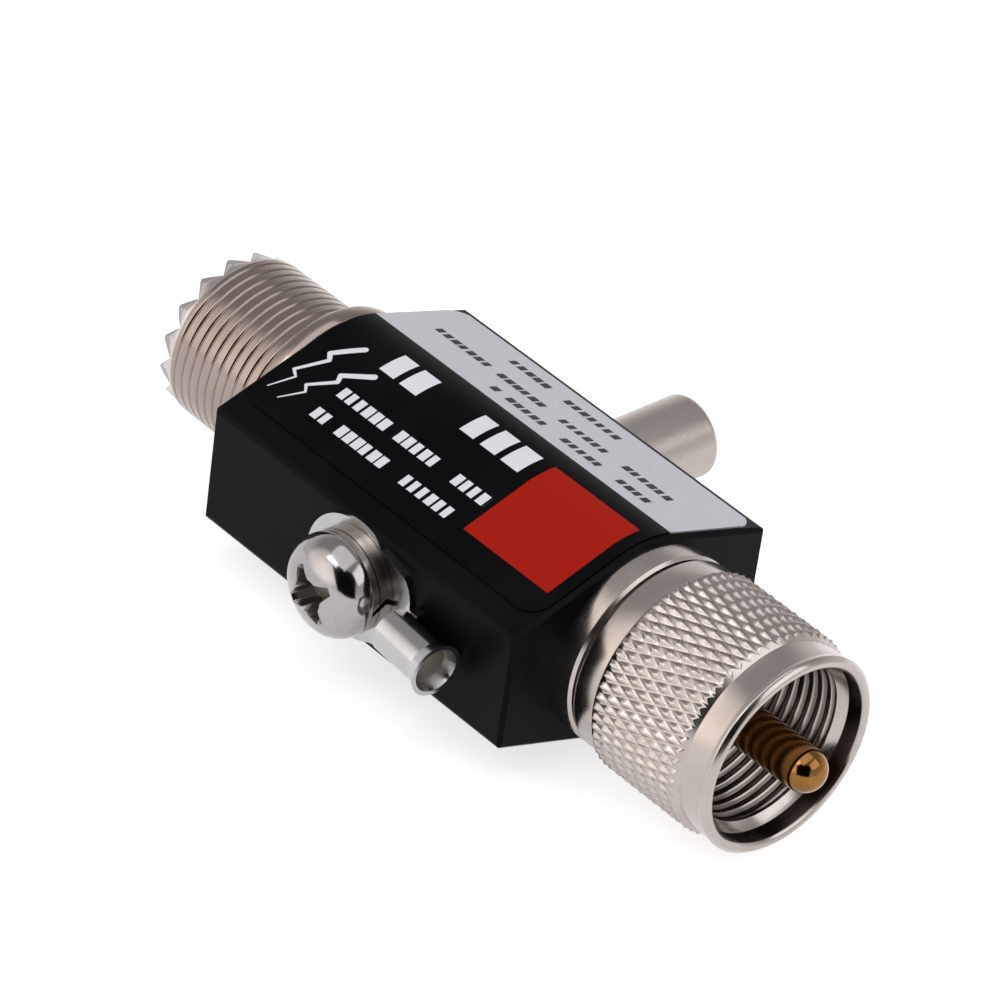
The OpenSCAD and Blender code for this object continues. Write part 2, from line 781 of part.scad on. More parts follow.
module spring_washer() {
    color(bright_tin)
        screw_frame()
            translate([0, 0, washer_y])
                difference() {
                    cylinder(d = washer_d, h = washer_t);
                    translate([0, 0, -over])
                        cylinder(d = stack_hole_d, h = washer_t + 2 * over);
                    translate([0, 0, washer_t / 2])
                        rotate([split_tilt, 0, 0])
                            translate([0, -washer_split / 2, -washer_d])
                                cube([washer_d, washer_split, 2 * washer_d]);
                }
}

// Flat outline of the lug: the ring and shoulders that draw in to the barrel along a quarter ellipse
module lug_outline() {
    neck_x = lug_ring_d / 2;
    shoulder = [for (i = [0 : neck_steps])
        let (turn = 90 * i / neck_steps)
        [neck_x + (barrel_start - neck_x) * sin(turn),
            lug_neck_w + (shoulder_w - lug_neck_w) * cos(turn)]];
    lower = [for (i = [neck_steps : -1 : 0]) [shoulder[i].x, -shoulder[i].y]];
    circle(d = lug_ring_d);
    polygon(concat([[0, neck_pull * neck_x]], shoulder, [[barrel_start + over, lug_neck_w],
        [barrel_start + over, -lug_neck_w]], lower, [[0, -neck_pull * neck_x]]));
}

// Frame of the wire barrel: local z runs along it from its near end, lifted off the block's face
module barrel_frame() {
    translate([barrel_start, 0, face_y + barrel_d / 2])
        rotate([0, 90 - barrel_tilt, 0])
            children();
}

module ground_lug() {
    barrel_r = barrel_d / 2;
    bore_r = barrel_r - barrel_wall;
    bell_z = barrel_l - bell_l;
    color(bright_tin)
        screw_frame()
            rotate([0, 0, -lug_swing])
                difference() {
                    union() {
                        translate([0, 0, face_y])
                            linear_extrude(lug_t)
                                lug_outline();
                        barrel_frame()
                            rotate_extrude()
                                polygon([
                                    [0, 0], [barrel_r, 0], [barrel_r, bell_z],
                                    [barrel_r + bell_rise, barrel_l], [0, barrel_l]]);
                    }
                    cylinder(d = stack_hole_d, h = face_y + lug_t + over);
                    barrel_frame()
                        rotate_extrude()
                            polygon([
                                [0, -blend], [bore_r, -blend], [bore_r, bell_z],
                                [bore_r + bell_rise, barrel_l], [bore_r + bell_rise, barrel_l + over],
                                [0, barrel_l + over]]);
                }
}

body();
label();
jack_shell();
jack_insulator();
jack_contact();
line_rod();
plug_shell();
plug_insulator();
plug_pin();
coupling_ring();
ring_clip();
tube_line_cup();
tube_ceramic();
tube_earth_cup();
cap_spring();
tube_cap();
ground_screw();
spring_washer();
ground_lug();
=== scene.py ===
import math

import bpy
import numpy as np
from mathutils import Matrix, Vector


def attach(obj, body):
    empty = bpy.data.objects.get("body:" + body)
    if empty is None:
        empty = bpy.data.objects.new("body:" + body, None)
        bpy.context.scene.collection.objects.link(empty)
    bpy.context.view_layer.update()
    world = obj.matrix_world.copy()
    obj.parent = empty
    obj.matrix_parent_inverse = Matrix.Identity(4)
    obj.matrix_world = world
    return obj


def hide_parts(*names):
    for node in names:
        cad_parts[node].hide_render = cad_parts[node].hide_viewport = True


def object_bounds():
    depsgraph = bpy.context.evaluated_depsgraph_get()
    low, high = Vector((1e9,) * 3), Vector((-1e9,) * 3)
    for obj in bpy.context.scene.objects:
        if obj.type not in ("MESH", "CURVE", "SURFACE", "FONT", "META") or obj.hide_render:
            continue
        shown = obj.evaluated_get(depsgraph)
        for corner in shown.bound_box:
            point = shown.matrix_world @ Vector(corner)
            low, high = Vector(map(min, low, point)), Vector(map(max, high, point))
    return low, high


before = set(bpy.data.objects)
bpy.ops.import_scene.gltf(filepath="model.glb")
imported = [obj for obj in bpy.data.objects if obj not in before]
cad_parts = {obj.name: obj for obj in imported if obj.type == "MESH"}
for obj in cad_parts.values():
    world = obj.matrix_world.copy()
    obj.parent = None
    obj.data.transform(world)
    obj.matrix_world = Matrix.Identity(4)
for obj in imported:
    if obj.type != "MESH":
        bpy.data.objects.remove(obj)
cad_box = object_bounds()
scene = bpy.context.scene
scene.view_settings.view_transform = "Standard"
MM = 0.001

# The block: a cast metal body, machined at both ends and sprayed with satin black paint.
# It carries everything else, so its finish comes first, with the node helpers that all finishes use.
paint_tones, paint_rough = ((0.0030, 0.0029, 0.0040), (0.0046, 0.0044, 0.0060)), (0.30, 0.38)


def node(tree, kind, links=(), **settings):
    """One shader node: settings are its properties, links its inputs, each a socket or a plain value."""
    made = tree.nodes.new(kind)
    for key, value in settings.items():
        setattr(made, key, value)
    for key, value in dict(links).items():
        if isinstance(value, bpy.types.NodeSocket):
            tree.links.new(value, made.inputs[key])
        else:
            made.inputs[key].default_value = value
    return made


def math_node(tree, operation, a, b=0.0, c=0.0):
    """The result socket of one Math node."""
    return node(tree, "ShaderNodeMath", {0: a, 1: b, 2: c}, operation=operation).outputs[0]


def mix_colour(tree, share, first, second):
    """The result socket of a colour mix, from first at share 0 to second at share 1."""
    made = node(tree, "ShaderNodeMix", {"Factor": share}, data_type="RGBA")
    for socket, value in ((made.inputs[6], first), (made.inputs[7], second)):
        if isinstance(value, bpy.types.NodeSocket):
            tree.links.new(value, socket)
        else:
            socket.default_value = (*value, 1.0)
    return made.outputs[2]


def spread(tree, value, low, high, to_low, to_high, ease="LINEAR"):
    """The value carried from the span low..high to to_low..to_high, clamped; ease shapes the way."""
    spans = {"Value": value, "From Min": low, "From Max": high, "To Min": to_low, "To Max": to_high}
    return node(tree, "ShaderNodeMapRange", spans, interpolation_type=ease).outputs["Result"]


def finish_of(name, **sockets):
    """A new material, its node tree, its Principled shader and its Object coordinates; sockets sets the
    shader's values that hold all over."""
    material = bpy.data.materials.new(name)
    material.use_nodes = True
    tree = material.node_tree
    shader = tree.nodes["Principled BSDF"]
    for key, value in sockets.items():
        shader.inputs[key.replace("_", " ")].default_value = value
    place = node(tree, "ShaderNodeTexCoord").outputs["Object"]
    return material, tree, shader, place


def coat(tree, shader, tone, rough):
    """Gives a shader its tone and its roughness."""
    tree.links.new(tone, shader.inputs["Base Color"])
    tree.links.new(rough, shader.inputs["Roughness"])


def emboss(tree, shader, height, strength, depth):
    """Lets a height pattern catch the light, as relief of that depth in millimetres."""
    bump = node(tree, "ShaderNodeBump", {"Strength": strength, "Distance": depth * MM, "Height": height})
    tree.links.new(bump.outputs["Normal"], shader.inputs["Normal"])


def dress(piece, material):
    """Gives a CAD node or a new piece its one finish."""
    piece.data.materials.clear()
    piece.data.materials.append(material)


def group_of(name, vectors, floats, outputs):
    """A new shader node group with vector and float inputs and float outputs, and its two end nodes."""
    group = bpy.data.node_groups.new(name, "ShaderNodeTree")
    for socket in vectors:
        group.interface.new_socket(socket, in_out="INPUT", socket_type="NodeSocketVector")
    for socket in floats:
        group.interface.new_socket(socket, in_out="INPUT", socket_type="NodeSocketFloat")
    for socket in outputs:
        group.interface.new_socket(socket, in_out="OUTPUT", socket_type="NodeSocketFloat")
    return group, node(group, "NodeGroupInput"), node(group, "NodeGroupOutput")


# Handling marks: broad cloudy smudges, for every touched surface. Size is about how many lie in a metre.
smudges, entry, leave = group_of("handling_marks", ["Place"], ["Size"], ["Cloud"])
noise = node(smudges, "ShaderNodeTexNoise",
             {"Vector": entry.outputs["Place"], "Scale": entry.outputs["Size"],
              "Detail": 4.0, "Roughness": 0.6})
smudges.links.new(spread(smudges, noise.outputs["Fac"], 0.38, 0.66, 0.0, 1.0), leave.inputs["Cloud"])


def clouds(tree, place, size):
    """Mask of the handling marks on one finish."""
    return node(tree, "ShaderNodeGroup", {"Place": place, "Size": size}, node_tree=smudges).outputs["Cloud"]


def handled(tree, place, size, tones, rough):
    """Tone and roughness of a touched surface: tones and rough hold what is clean first, then a smudge's."""
    cloud = clouds(tree, place, size)
    return mix_colour(tree, cloud, *tones), spread(tree, cloud, 0, 1, *rough)


black_paint, tree, shader, place = finish_of("black_paint", Specular_IOR_Level=0.042)
tone, rough = handled(tree, place, 120.0, paint_tones, paint_rough)
grain = node(tree, "ShaderNodeTexNoise", {"Vector": place, "Scale": 2600.0, "Detail": 3.0}).outputs["Fac"]
rough = math_node(tree, "ADD", rough, spread(tree, grain, 0.3, 0.7, -0.03, 0.03))
coat(tree, shader, tone, rough)
emboss(tree, shader, grain, 0.12, 0.02)
dress(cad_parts["body"], black_paint)

# The label: a printed film wrapped over the upper ridge and both its slopes, rounded at the corners.
# Its print is plain fields: a red square, a pale stripe, two jagged strokes and bars where words would be.
ridge_r, slope_out, side_out, side_half = 9.8, 9.78, 14.2, 5.75
slope = math.asin(slope_out / math.hypot(side_out, side_half)) - math.atan2(side_half, side_out)
film_tones, film_rough = ((0.0024, 0.0024, 0.0032), (0.0040, 0.0040, 0.0050)), (0.26, 0.36)
print_red, print_pale = (0.365, 0.0130, 0.006), (0.54, 0.525, 0.58)
print_white, print_dark = (0.72, 0.71, 0.77), (0.03, 0.03, 0.035)
print_edge, block_fill = 0.02 * MM, (0.62, 0.86)

# A bar's mask: 1 where a point lies within its half length and its half width.
bar_mask, entry, leave = group_of("print_bar", [], ["Along", "Across", "Middle along", "Middle across",
                                                    "Half length", "Half width"], ["Mask"])


def outside(tree, value, middle, half):
    """How far a coordinate lies outside the span middle - half .. middle + half, negative inside."""
    away = math_node(tree, "ABSOLUTE", math_node(tree, "SUBTRACT", value, middle))
    return math_node(tree, "SUBTRACT", away, half)


beyond = math_node(bar_mask, "MAXIMUM",
                   outside(bar_mask, entry.outputs["Along"], entry.outputs["Middle along"],
                           entry.outputs["Half length"]),
                   outside(bar_mask, entry.outputs["Across"], entry.outputs["Middle across"],
                           entry.outputs["Half width"]))
bar_mask.links.new(spread(bar_mask, beyond, -print_edge, print_edge, 1.0, 0.0), leave.inputs["Mask"])

# A stroke's mask: 1 where a point lies nearer to a segment than the stroke's half width there.
stroke_mask, entry, leave = group_of("print_stroke", [], ["Along", "Across", "Start along", "Start across",
                                                          "Step along", "Step across", "Start width",
                                                          "End width"], ["Mask"])


def dot_node(tree, first, second):
    """The dot product of two flat vectors, each a pair of sockets."""
    return math_node(tree, "MULTIPLY_ADD", first[0], second[0],
                     math_node(tree, "MULTIPLY", first[1], second[1]))


# Distance from a point to a segment: the point's share along it, clamped to 0..1, gives the nearest spot.
step = entry.outputs["Step along"], entry.outputs["Step across"]
point = (math_node(stroke_mask, "SUBTRACT", entry.outputs["Along"], entry.outputs["Start along"]),
         math_node(stroke_mask, "SUBTRACT", entry.outputs["Across"], entry.outputs["Start across"]))
share = math_node(stroke_mask, "DIVIDE", dot_node(stroke_mask, point, step),
                  dot_node(stroke_mask, step, step))
share = spread(stroke_mask, share, 0, 1, 0, 1)
off = [math_node(stroke_mask, "SUBTRACT", a, math_node(stroke_mask, "MULTIPLY", b, share))
       for a, b in zip(point, step)]
gap = math_node(stroke_mask, "SQRT", dot_node(stroke_mask, off, off))
start, end = entry.outputs["Start width"], entry.outputs["End width"]
half = math_node(stroke_mask, "MULTIPLY_ADD", math_node(stroke_mask, "SUBTRACT", end, start), share, start)
over = math_node(stroke_mask, "SUBTRACT", gap, half)
stroke_mask.links.new(spread(stroke_mask, over, -print_edge, print_edge, 1.0, 0.0), leave.inputs["Mask"])

label_film, tree, shader, place = finish_of("label_film", Specular_IOR_Level=0.035)
along, side, height = node(tree, "ShaderNodeSeparateXYZ", {0: place}).outputs
# Across is the distance round the wrap from the ridge line: the arc up to the slope, then the flat beyond.
turn = math_node(tree, "ARCTAN2", side, height)
turn = node(tree, "ShaderNodeClamp", {"Value": turn, "Min": -slope, "Max": slope}).outputs[0]
flat = math_node(tree, "SUBTRACT", math_node(tree, "MULTIPLY", side, math_node(tree, "COSINE", turn)),
                 math_node(tree, "MULTIPLY", height, math_node(tree, "SINE", turn)))
across = math_node(tree, "MULTIPLY_ADD", turn, ridge_r * MM, flat)


def joined(masks):
    """The mask of all that any of the masks covers."""
    whole = masks[0]
    for mask in masks[1:]:
        whole = math_node(tree, "MAXIMUM", whole, mask)
    return whole


def bar(middle_along, middle_across, half_length, half_width):
    """Mask of one printed bar, in millimetres along the block and round the wrap."""
    return node(tree, "ShaderNodeGroup",
                {"Along": along, "Across": across, "Middle along": middle_along * MM,
                 "Middle across": middle_across * MM, "Half length": half_length * MM,
                 "Half width": half_width * MM}, node_tree=bar_mask).outputs[0]


def strokes(points, thin, thick):
    """Mask of a jagged line through the points, in millimetres along the block and round the wrap. Its half
    width grows from thin at the first point to thick at the last."""
    widths = np.linspace(thin, thick, len(points)).tolist()
    parts = []
    for (x0, y0), (x1, y1), start, end in zip(points, points[1:], widths, widths[1:]):
        sizes = {"Along": along, "Across": across, "Start along": x0 * MM, "Start across": y0 * MM,
                 "Step along": (x1 - x0) * MM, "Step across": (y1 - y0) * MM,
                 "Start width": start * MM, "End width": end * MM}
        parts.append(node(tree, "ShaderNodeGroup", sizes, node_tree=stroke_mask).outputs[0])
    return joined(parts)


def print_line(first, last, middle_across, half_width, step, per_word):
    """Mask of a printed line with no writing in it: small blocks, one to each step, that fill uneven shares
    of it, from block number first to last counted from the origin. One or two of every per_word are left
    out as a gap."""
    line = bar((first + last) / 2 * step, middle_across, (last - first) / 2 * step, half_width)
    count = math_node(tree, "DIVIDE", along, step * MM)
    block = math_node(tree, "FLOOR", count)
    word = math_node(tree, "FLOOR", math_node(tree, "DIVIDE", block, per_word))
    block_chance, word_chance = [
        node(tree, "ShaderNodeTexWhiteNoise", {"W": number}, noise_dimensions="1D").outputs["Value"]
        for number in (block, word)]
    width = spread(tree, block_chance, 0, 1, *block_fill)
    filled = math_node(tree, "SUBTRACT", width, math_node(tree, "FRACT", count))
    edge = print_edge / (step * MM)
    line = math_node(tree, "MULTIPLY", line, spread(tree, filled, -edge, edge, 0.0, 1.0))
    kept = math_node(tree, "FLOOR", spread(tree, word_chance, 0, 1, per_word - 2, per_word - 0.01))
    place_in_word = math_node(tree, "SUBTRACT", block, math_node(tree, "MULTIPLY", word, per_word))
    return math_node(tree, "MULTIPLY", line, math_node(tree, "LESS_THAN", place_in_word, kept))


# Fields: middle along and across, half length and half width.
red = bar(-11.95, -4.6, 5.25, 5.1)
stripe = bar(-24.3, 8.3, 18.8, 5.4)
stroke_thin, stroke_thick = 0.06, 0.30
upper_stroke = [(-42.0, -10.2), (-41.0, -7.9), (-41.8, -7.4), (-40.3, -4.7), (-40.9, -4.1), (-39.0, -1.8)]
lower_stroke = [(-40.3, -10.5), (-39.0, -8.5), (-39.6, -7.9), (-37.8, -5.9), (-38.2, -5.2), (-35.9, -3.4)]
# Lines: first and last block, place round the wrap, half width, step and blocks to a word.
white_lines = [(-14, -6, -1.0, 1.45, 2.6, 5),
               (-35, -17, -6.4, 0.62, 1.05, 7),
               (-35, -17, -9.4, 0.62, 1.05, 8)]
dark_lines = [(-30, -10, 5.0, 0.50, 1.0, 7),
              (-40, -8, 7.8, 0.50, 1.0, 8),
              (-34, -18, 11.4, 0.50, 1.0, 9)]
white = joined([strokes(points, stroke_thin, stroke_thick) for points in (upper_stroke, lower_stroke)]
               + [print_line(*spec) for spec in white_lines])
dark = joined([print_line(*spec) for spec in dark_lines])
ink, rough = handled(tree, place, 160.0, film_tones, film_rough)
for field, colour in ((red, print_red), (stripe, print_pale), (white, print_white), (dark, print_dark)):
    ink = mix_colour(tree, field, ink, colour)
coat(tree, shader, ink, rough)
ripple = node(tree, "ShaderNodeTexNoise", {"Vector": place, "Scale": 900.0, "Detail": 2.0}).outputs["Fac"]
emboss(tree, shader, ripple, 0.08, 0.02)
dress(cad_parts["label"], label_film)

# The jack: one piece turned from brass and nickel plated, with flange, thread and a mouth ringed by teeth.
# Its shank is pressed into the block, so only the part outside is seen.
coax_line = (1.0, 0.0, 0.0)
jack_face, jack_tip, mouth_floor, jack_thread = -43.6, -58.3, -47.3, (-56.5, -46.1)
jack_bore_r, jack_shank_r, jack_shank_l, flange_r, flange_t = 5.0, 6.5, 7.0, 9.5, 1.8
relief_r, jack_thread_r, jack_rim_r, jack_mouth_r = 7.39, 7.94, 7.75, 6.25
thread_pitch, jack_groove, jack_crest = 1.058, 0.115, 0.64
teeth, tooth_depth, tooth_blunt, tooth_turn, notch_root = 16, 1.35, 0.06, math.radians(7.5), -56.9
nickel_tones = [[0.435, 0.385, 0.365], [0.505, 0.45, 0.425], [0.38, 0.33, 0.30]]
# The first tone below is the shade painted into bores and thread roots; the second is a painted reflection
# on the jack's teeth.
painted_shade_tone, tooth_sheen_tone = (0.10, 0.08, 0.065), (0.56, 0.515, 0.505)


def piece_of(name, points, faces, smooth):
    """A new object at the origin from points in millimetres, faces that list their points, and which faces
    are smoothed."""
    mesh = bpy.data.meshes.new(name)
    mesh.from_pydata((np.asarray(points).reshape(-1, 3) * MM).tolist(), [], faces)
    mesh.polygons.foreach_set("use_smooth", smooth)
    mesh.update()
    piece = bpy.data.objects.new(name, mesh)
    scene.collection.objects.link(piece)
    return piece


def closed_surface(name, points, split=None, flat=None):
    """A closed ring of faces: points[row, column] wraps round in both directions, columns about the axis.
    Each face joins a row to the next and a column to the next. split gives each face's kind: 0 for a quad,
    1 or 2 for two triangles, cut along its first or its second diagonal. flat is true where a face isn't
    smoothed."""
    rows, columns = points.shape[:2]
    row, column = np.meshgrid(np.arange(rows), np.arange(columns), indexing="ij")
    below, beside = (row + 1) % rows, (column + 1) % columns
    corners = np.stack([row * columns + column, row * columns + beside, below * columns + beside,
                        below * columns + column], -1)
    kind = np.zeros((rows, columns)) if split is None else split
    hard = np.zeros((rows, columns), bool) if flat is None else flat
    quads, first, second = (corners[kind == which] for which in (0, 1, 2))
    halves = [first[:, [0, 1, 2]], first[:, [0, 2, 3]], second[:, [0, 1, 3]], second[:, [1, 2, 3]]]
    sharp = np.concatenate([hard[kind == which] for which in (0, 1, 1, 2, 2)])
    return piece_of(name, points, quads.tolist() + np.concatenate(halves).tolist(), ~sharp)


def swept_about_x(radius, position, angle):
    """Points of a surface of revolution about X: radius and position may change with the angle."""
    return np.stack(np.broadcast_arrays(position, radius * np.cos(angle), radius * np.sin(angle)), -1)


def turned(profile, angle):
    """Rows of a turned surface: each point of the profile, a radius and a position, carried round X."""
    return [swept_about_x(radius, position, angle) for radius, position in profile]


def thread_depth(turns, crest):
    """Depth of a V thread from 0 at the crest to 1 at the root, for a height counted in turns; crest is the
    share of the pitch that stays flat."""
    away = np.abs(turns - np.floor(turns) - 0.5) * 2
    return np.clip((1 - crest - away) / (1 - crest), 0, 1)


angle = tooth_turn + np.linspace(0, 2 * np.pi, 16 * teeth, endpoint=False)[None, :]
# Angle from the nearest notch, for the V cut straight across the mouth.
notch_step = 2 * np.pi / teeth
from_notch = np.abs((angle - tooth_turn) % notch_step - notch_step / 2)


def tooth_end(radius):
    """Where the mouth ends: V notches of one width at every radius, with blunt teeth between them."""
    half = jack_rim_r * math.sin(math.pi / teeth)
    return jack_tip + tooth_depth * np.clip(1 - radius * np.sin(from_notch) / half, tooth_blunt, 1)


# The thread fades in at the rim and out at the relief behind it.
x_rows = np.linspace(jack_thread[1], jack_thread[0], 241)[:, None]
fade = np.clip((x_rows - jack_thread[0]) / 0.5, 0, 1) * np.clip((jack_thread[1] - x_rows) / 0.3, 0, 1)
cut = thread_depth(x_rows / thread_pitch + angle / (2 * np.pi), jack_crest) * fade
outer = [(jack_bore_r, jack_face + jack_shank_l), (jack_shank_r, jack_face + jack_shank_l),
         (jack_shank_r, jack_face), (flange_r - 0.1, jack_face), (flange_r, jack_face - 0.1),
         (flange_r, jack_face - flange_t + 0.3), (flange_r - 0.08, jack_face - flange_t + 0.08),
         (flange_r - 0.3, jack_face - flange_t), (relief_r + 0.11, jack_face - flange_t),
         (relief_r, jack_face - flange_t - 0.1), (relief_r, jack_thread[1] + 0.1)]
rows = turned(outer, angle)
rows.append(swept_about_x(jack_thread_r - jack_groove * cut, x_rows, angle))
rows += turned([(jack_rim_r, jack_thread[0] - 0.06), (jack_rim_r, notch_root)], angle)
rows += [swept_about_x(r, tooth_end(r), angle) for r in (jack_rim_r, 7.35, 6.9, 6.6, jack_mouth_r)]
rows += turned([(jack_mouth_r, notch_root), (jack_mouth_r, mouth_floor), (jack_bore_r, mouth_floor)], angle)
jack = closed_surface("jack_turned", np.concatenate(rows))
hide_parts("jack_shell")
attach(jack, "housing")


def vector_node(tree, operation, a, b=(0.0, 0.0, 0.0)):
    """The result socket of one Vector Math node, a number where the operation gives one."""
    made = node(tree, "ShaderNodeVectorMath", {0: a, 1: b}, operation=operation)
    return made.outputs["Value" if operation in ("DOT_PRODUCT", "DISTANCE", "LENGTH") else "Vector"]


# Fine rings left by the cutting tool: noise that changes only along the turned piece's axis.
tool_rings, entry, leave = group_of("tool_rings", ["Place", "Along"], ["Rings"], ["Height", "Shade"])
reach = vector_node(tool_rings, "DOT_PRODUCT", entry.outputs["Place"], entry.outputs["Along"])
counted = math_node(tool_rings, "MULTIPLY", reach, entry.outputs["Rings"])
noise = node(tool_rings, "ShaderNodeTexNoise",
             {"W": counted, "Scale": 1.0, "Detail": 5.0, "Roughness": 0.7}, noise_dimensions="1D")
tool_rings.links.new(noise.outputs["Fac"], leave.inputs["Height"])
tool_rings.links.new(spread(tool_rings, noise.outputs["Fac"], 0.35, 0.65, 0.0, 1.0), leave.inputs["Shade"])


def rings_along(tree, place, axis, count):
    """The tool rings on a piece turned about that axis, count of them to a metre: height and shade."""
    made = node(tree, "ShaderNodeGroup", {"Place": place, "Along": axis, "Rings": count},
                node_tree=tool_rings)
    return made.outputs["Height"], made.outputs["Shade"]


def nickel_finish(name, axis, rough, relief, shade=1.0, painted_shade_spans=(), painted_shade=0.85, unshaded_span=None):
    """Nickel plate on turned brass: warm grey metal, tool rings along its axis, cloudy handling marks.
    rough gives the roughness of clean metal and of a smudge, relief the rings' strength. A shade below 1 is
    thinner plate, darker and warmer. Each shaded span, a pair of radii (unshaded, fully shaded), darkens the
    tone between those two distances from the coax line: painted shade for bores and thread roots, at most by
    the painted share given, and not within the unshaded span along that line."""
    material, tree, shader, place = finish_of(name, Metallic=1.0)
    height, ring = rings_along(tree, place, axis, 9000.0)
    cloud = clouds(tree, place, 220.0)
    plate = np.array(nickel_tones) * shade
    dark, light, worn = (plate * [1, 0.3 * shade + 0.7, 0.4 * shade + 0.6]).tolist()
    tone = mix_colour(tree, ring, dark, light)
    tone = mix_colour(tree, math_node(tree, "MULTIPLY", cloud, 0.35), tone, worn)
    # Painted shade: between the given radii from the coax line the tone darkens, standing in for the shade
    # inside bores and in thread roots.
    if painted_shade_spans:
        radius = vector_node(tree, "LENGTH", vector_node(tree, "MULTIPLY", place, (0.0, 1.0, 1.0)))
        for clean, full in painted_shade_spans:
            painted_shade = math_node(tree, "MULTIPLY", painted_shade, spread(tree, radius, clean * MM, full * MM, 0.0, 1.0))
        if unshaded_span:
            along = node(tree, "ShaderNodeSeparateXYZ", {0: place}).outputs["X"]
            away = outside(tree, along, sum(unshaded_span) / 2 * MM, (unshaded_span[1] - unshaded_span[0]) / 2 * MM)
            painted_shade = math_node(tree, "MULTIPLY", painted_shade, spread(tree, away, -0.02 * MM, 0.02 * MM, 0.0, 1.0))
        tone = mix_colour(tree, painted_shade, tone, painted_shade_tone)
    coat(tree, shader, tone, math_node(tree, "ADD", spread(tree, cloud, 0, 1, *rough),
                                       spread(tree, ring, 0, 1, -0.02, 0.03)))
    emboss(tree, shader, height, relief, 0.01)
    return material


def layers_of(material):
    """What a further layer on a finish needs: node tree, shader, Object coordinates, tone and roughness."""
    tree = material.node_tree
    shader = tree.nodes["Principled BSDF"]
    tone, rough = (shader.inputs[key].links[0].from_socket for key in ("Base Color", "Roughness"))
    return tree, shader, node(tree, "ShaderNodeTexCoord").outputs["Object"], tone, rough


# On the jack, shade is painted below the thread's root radius: in the thread roots, the relief groove behind
# the thread and inside the mouth.
jack_nickel = nickel_finish("nickel_jack", coax_line, (0.16, 0.26), 0.3, shade=0.72, painted_shade_spans=[(7.92, 7.82)],
                            painted_shade=0.42)
# The teeth get a paler tone over the painted shade there: a painted reflection standing for the brighter
# gleam of their smooth rim.
tree, shader, place, tone, rough = layers_of(jack_nickel)
along = node(tree, "ShaderNodeSeparateXYZ", {0: place}).outputs["X"]
on_teeth = spread(tree, along, (jack_thread[0] - 0.1) * MM, (jack_thread[0] - 0.3) * MM, 0.0, 1.0)
coat(tree, shader, mix_colour(tree, on_teeth, tone, tooth_sheen_tone), rough)
dress(jack, jack_nickel)

# The line through the block: white moulded insulators that hold a slit brass socket in the jack and the
# plug's centre pin, with a brass rod between them. They are pressed in from both ends.
moulding_tones, moulding_rough = ((0.80, 0.79, 0.75), (0.72, 0.71, 0.66)), (0.42, 0.55)
white_moulding, tree, shader, place = finish_of("white_moulding", Subsurface_Weight=0.15,
                                                Subsurface_Scale=0.001)
coat(tree, shader, *handled(tree, place, 300.0, moulding_tones, moulding_rough))
for name in ("jack_insulator", "plug_insulator", "tube_ceramic"):
    dress(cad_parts[name], white_moulding)

brass_tones, brass_rough = ((0.32, 0.152, 0.043), (0.21, 0.096, 0.026)), (0.09, 0.16)
brass_ring_tone = (0.18, 0.095, 0.028)
contact_brass, tree, shader, place = finish_of("contact_brass", Metallic=1.0)
tone, rough = handled(tree, place, 350.0, brass_tones, brass_rough)
height, ring = rings_along(tree, place, coax_line, 5000.0)
coat(tree, shader, mix_colour(tree, math_node(tree, "MULTIPLY", ring, 0.4), tone, brass_ring_tone), rough)
emboss(tree, shader, height, 0.12, 0.01)
for name in ("jack_contact", "line_rod", "plug_pin"):
    dress(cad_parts[name], contact_brass)

# The plug: a turned nickel-plated shell with a fixed collar, pressed into the block, and the coupling ring
# that turns on its neck behind a wire clip. The ring has a rolled diamond knurl outside and a thread inside.
# On the plug and its ring, shade is painted between radii 7.76 and 8.31, inside the ring's threaded bore;
# the inner bevel at its mouth is left out.
nickel = nickel_finish("nickel_plug", coax_line, (0.16, 0.25), 0.3, painted_shade_spans=[(7.62, 7.76), (8.37, 8.31)],
                       unshaded_span=(11.3, 12.16))
dress(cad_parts["plug_shell"], nickel)

ring_x0, knurl_x0, knurl_x1, ring_x1 = -2.3, 0.6, 10.2, 13.9
band_r, mouth_r, chamfer = 9.225, 8.3, 0.5
neck_r, clip_r, clip_room = 7.45, 8.0, (-1.1, -0.4)
ring_thread, ring_thread_r, ring_groove, ring_crest = (-0.3, 11.38), 7.58, 0.42, 0.3
knurl_r, knurl_depth = 9.75, 0.38
knurl_starts, knurl_rows, cuts = 58, 7, 4
angle = np.linspace(0, 2 * np.pi, 2 * knurl_starts * cuts, endpoint=False)[None, :]
# Half diamonds counted round the ring and along it, each cut in four; a pyramid stands at every odd sum.
around = np.arange(angle.size)[None, :] / cuts
lengthwise = np.arange(knurl_rows * cuts + 1)[:, None] / cuts


def knurl_height(around, lengthwise):
    """Diamond pyramids: two families of V grooves cross at opposite helix angles, and the lower one wins."""
    rise = [1 - np.abs(2 * (side - np.floor(side)) - 1)
            for side in ((around + lengthwise) / 2, (around - lengthwise) / 2)]
    return np.minimum(*rise)


knurl = knurl_r - knurl_depth * (1 - knurl_height(around, lengthwise))
knurl_x = np.repeat(knurl_x0 + lengthwise * (knurl_x1 - knurl_x0) / knurl_rows, angle.size, axis=1)
